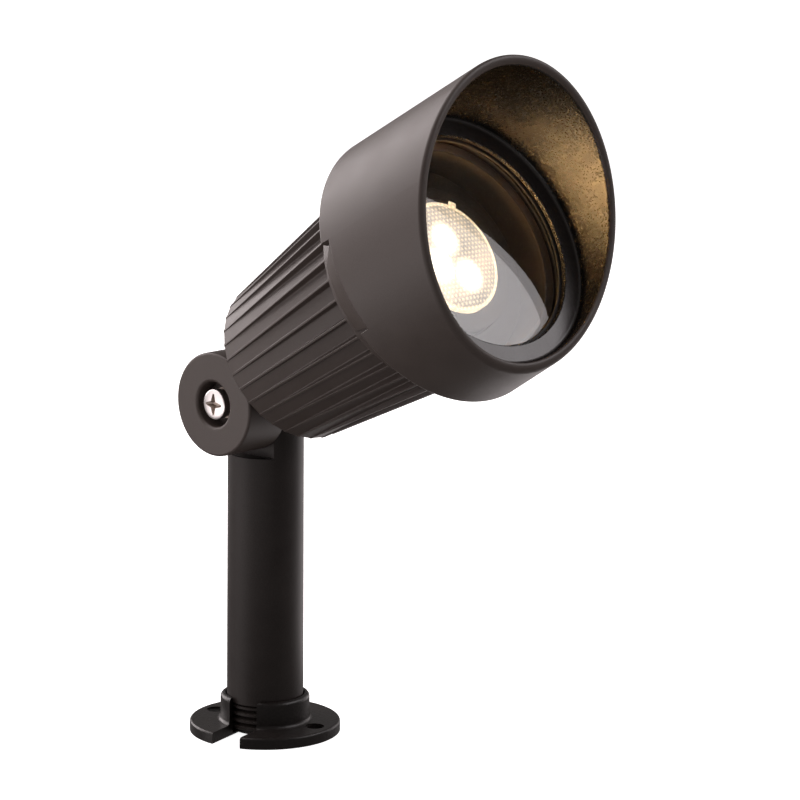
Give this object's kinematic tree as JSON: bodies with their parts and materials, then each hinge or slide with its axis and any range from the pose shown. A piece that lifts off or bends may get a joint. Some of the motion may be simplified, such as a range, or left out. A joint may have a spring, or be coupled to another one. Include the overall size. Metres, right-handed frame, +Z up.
{
  "type": "garden spotlight on a post",
  "caption": "Garden spotlight with a ribbed tilting head, slanted glare hood and LED lamp, on a short hollow post that screws into a round floor flange.",
  "frame": {"origin": "centre of the flange's underside, where the flange is screwed to the ground or a deck", "axes": "+Z up along the post, +X the way the head points, so the knuckle's screw head faces -Y"},
  "size_m": [0.1448, 0.0926, 0.2387],
  "materials": {
    "base_coat": "cast aluminium with a satin black coat",
    "head_coat": "cast aluminium with a dark grey powder coat",
    "bright_steel": "bright nickel plated steel",
    "black_steel": "spring steel with a black oxide finish",
    "rubber": "matt black rubber",
    "clear_glass": "clear flat toughened glass",
    "lit_lens": "clear moulded lens lit warm white from behind",
    "dark_plastic": "moulded dark plastic",
    "heat_sink": "satin cast heat sink",
    "white_board": "white board coating",
    "led_chip": "yellow phosphor",
    "ceramic": "off-white ceramic"
  },
  "bodies": {
    "base": {"base_flange": "base_coat"},
    "post": {"post": "base_coat", "post_grommet": "rubber", "knuckle_seal": "rubber", "pivot_screw": "bright_steel", "pivot_washer": "bright_steel", "pivot_spring_washer": "bright_steel", "pivot_nut": "bright_steel"},
    "head": {"housing": "head_coat", "cable_grommet": "rubber", "holder_bracket": "bright_steel", "bracket_screw_1": "bright_steel", "bracket_screw_2": "bright_steel", "lamp_holder": "ceramic", "holder_screw_1": "bright_steel", "holder_screw_2": "bright_steel", "lamp_pin_1": "bright_steel", "lamp_pin_2": "bright_steel", "lamp_body": "heat_sink", "led_board": "white_board", "led_chip_1": "led_chip", "led_chip_2": "led_chip", "led_chip_3": "led_chip", "lamp_lens": "lit_lens", "lamp_bezel": "dark_plastic", "trim_plate": "dark_plastic", "hood_o_ring": "rubber"},
    "hood": {"hood": "head_coat", "front_glass": "clear_glass", "glass_gasket": "rubber", "glass_retaining_ring": "black_steel"}
  },
  "joints": [
    {"name": "post_swivel", "type": "hinge", "parent": "base", "child": "post", "pos_m": [0, 0, 0], "axis": [0, 0, 1], "range_deg": [-180, 180]},
    {"name": "head_tilt", "type": "hinge", "parent": "post", "child": "head", "pos_m": [0, 0, 0.1156], "axis": [0, -1, 0], "range_deg": [-36, 90]},
    {"name": "hood_pull", "type": "slide", "parent": "head", "child": "hood", "axis": [0.8545, 0, 0.5195], "range_m": [0, 0.06]}
  ]
}
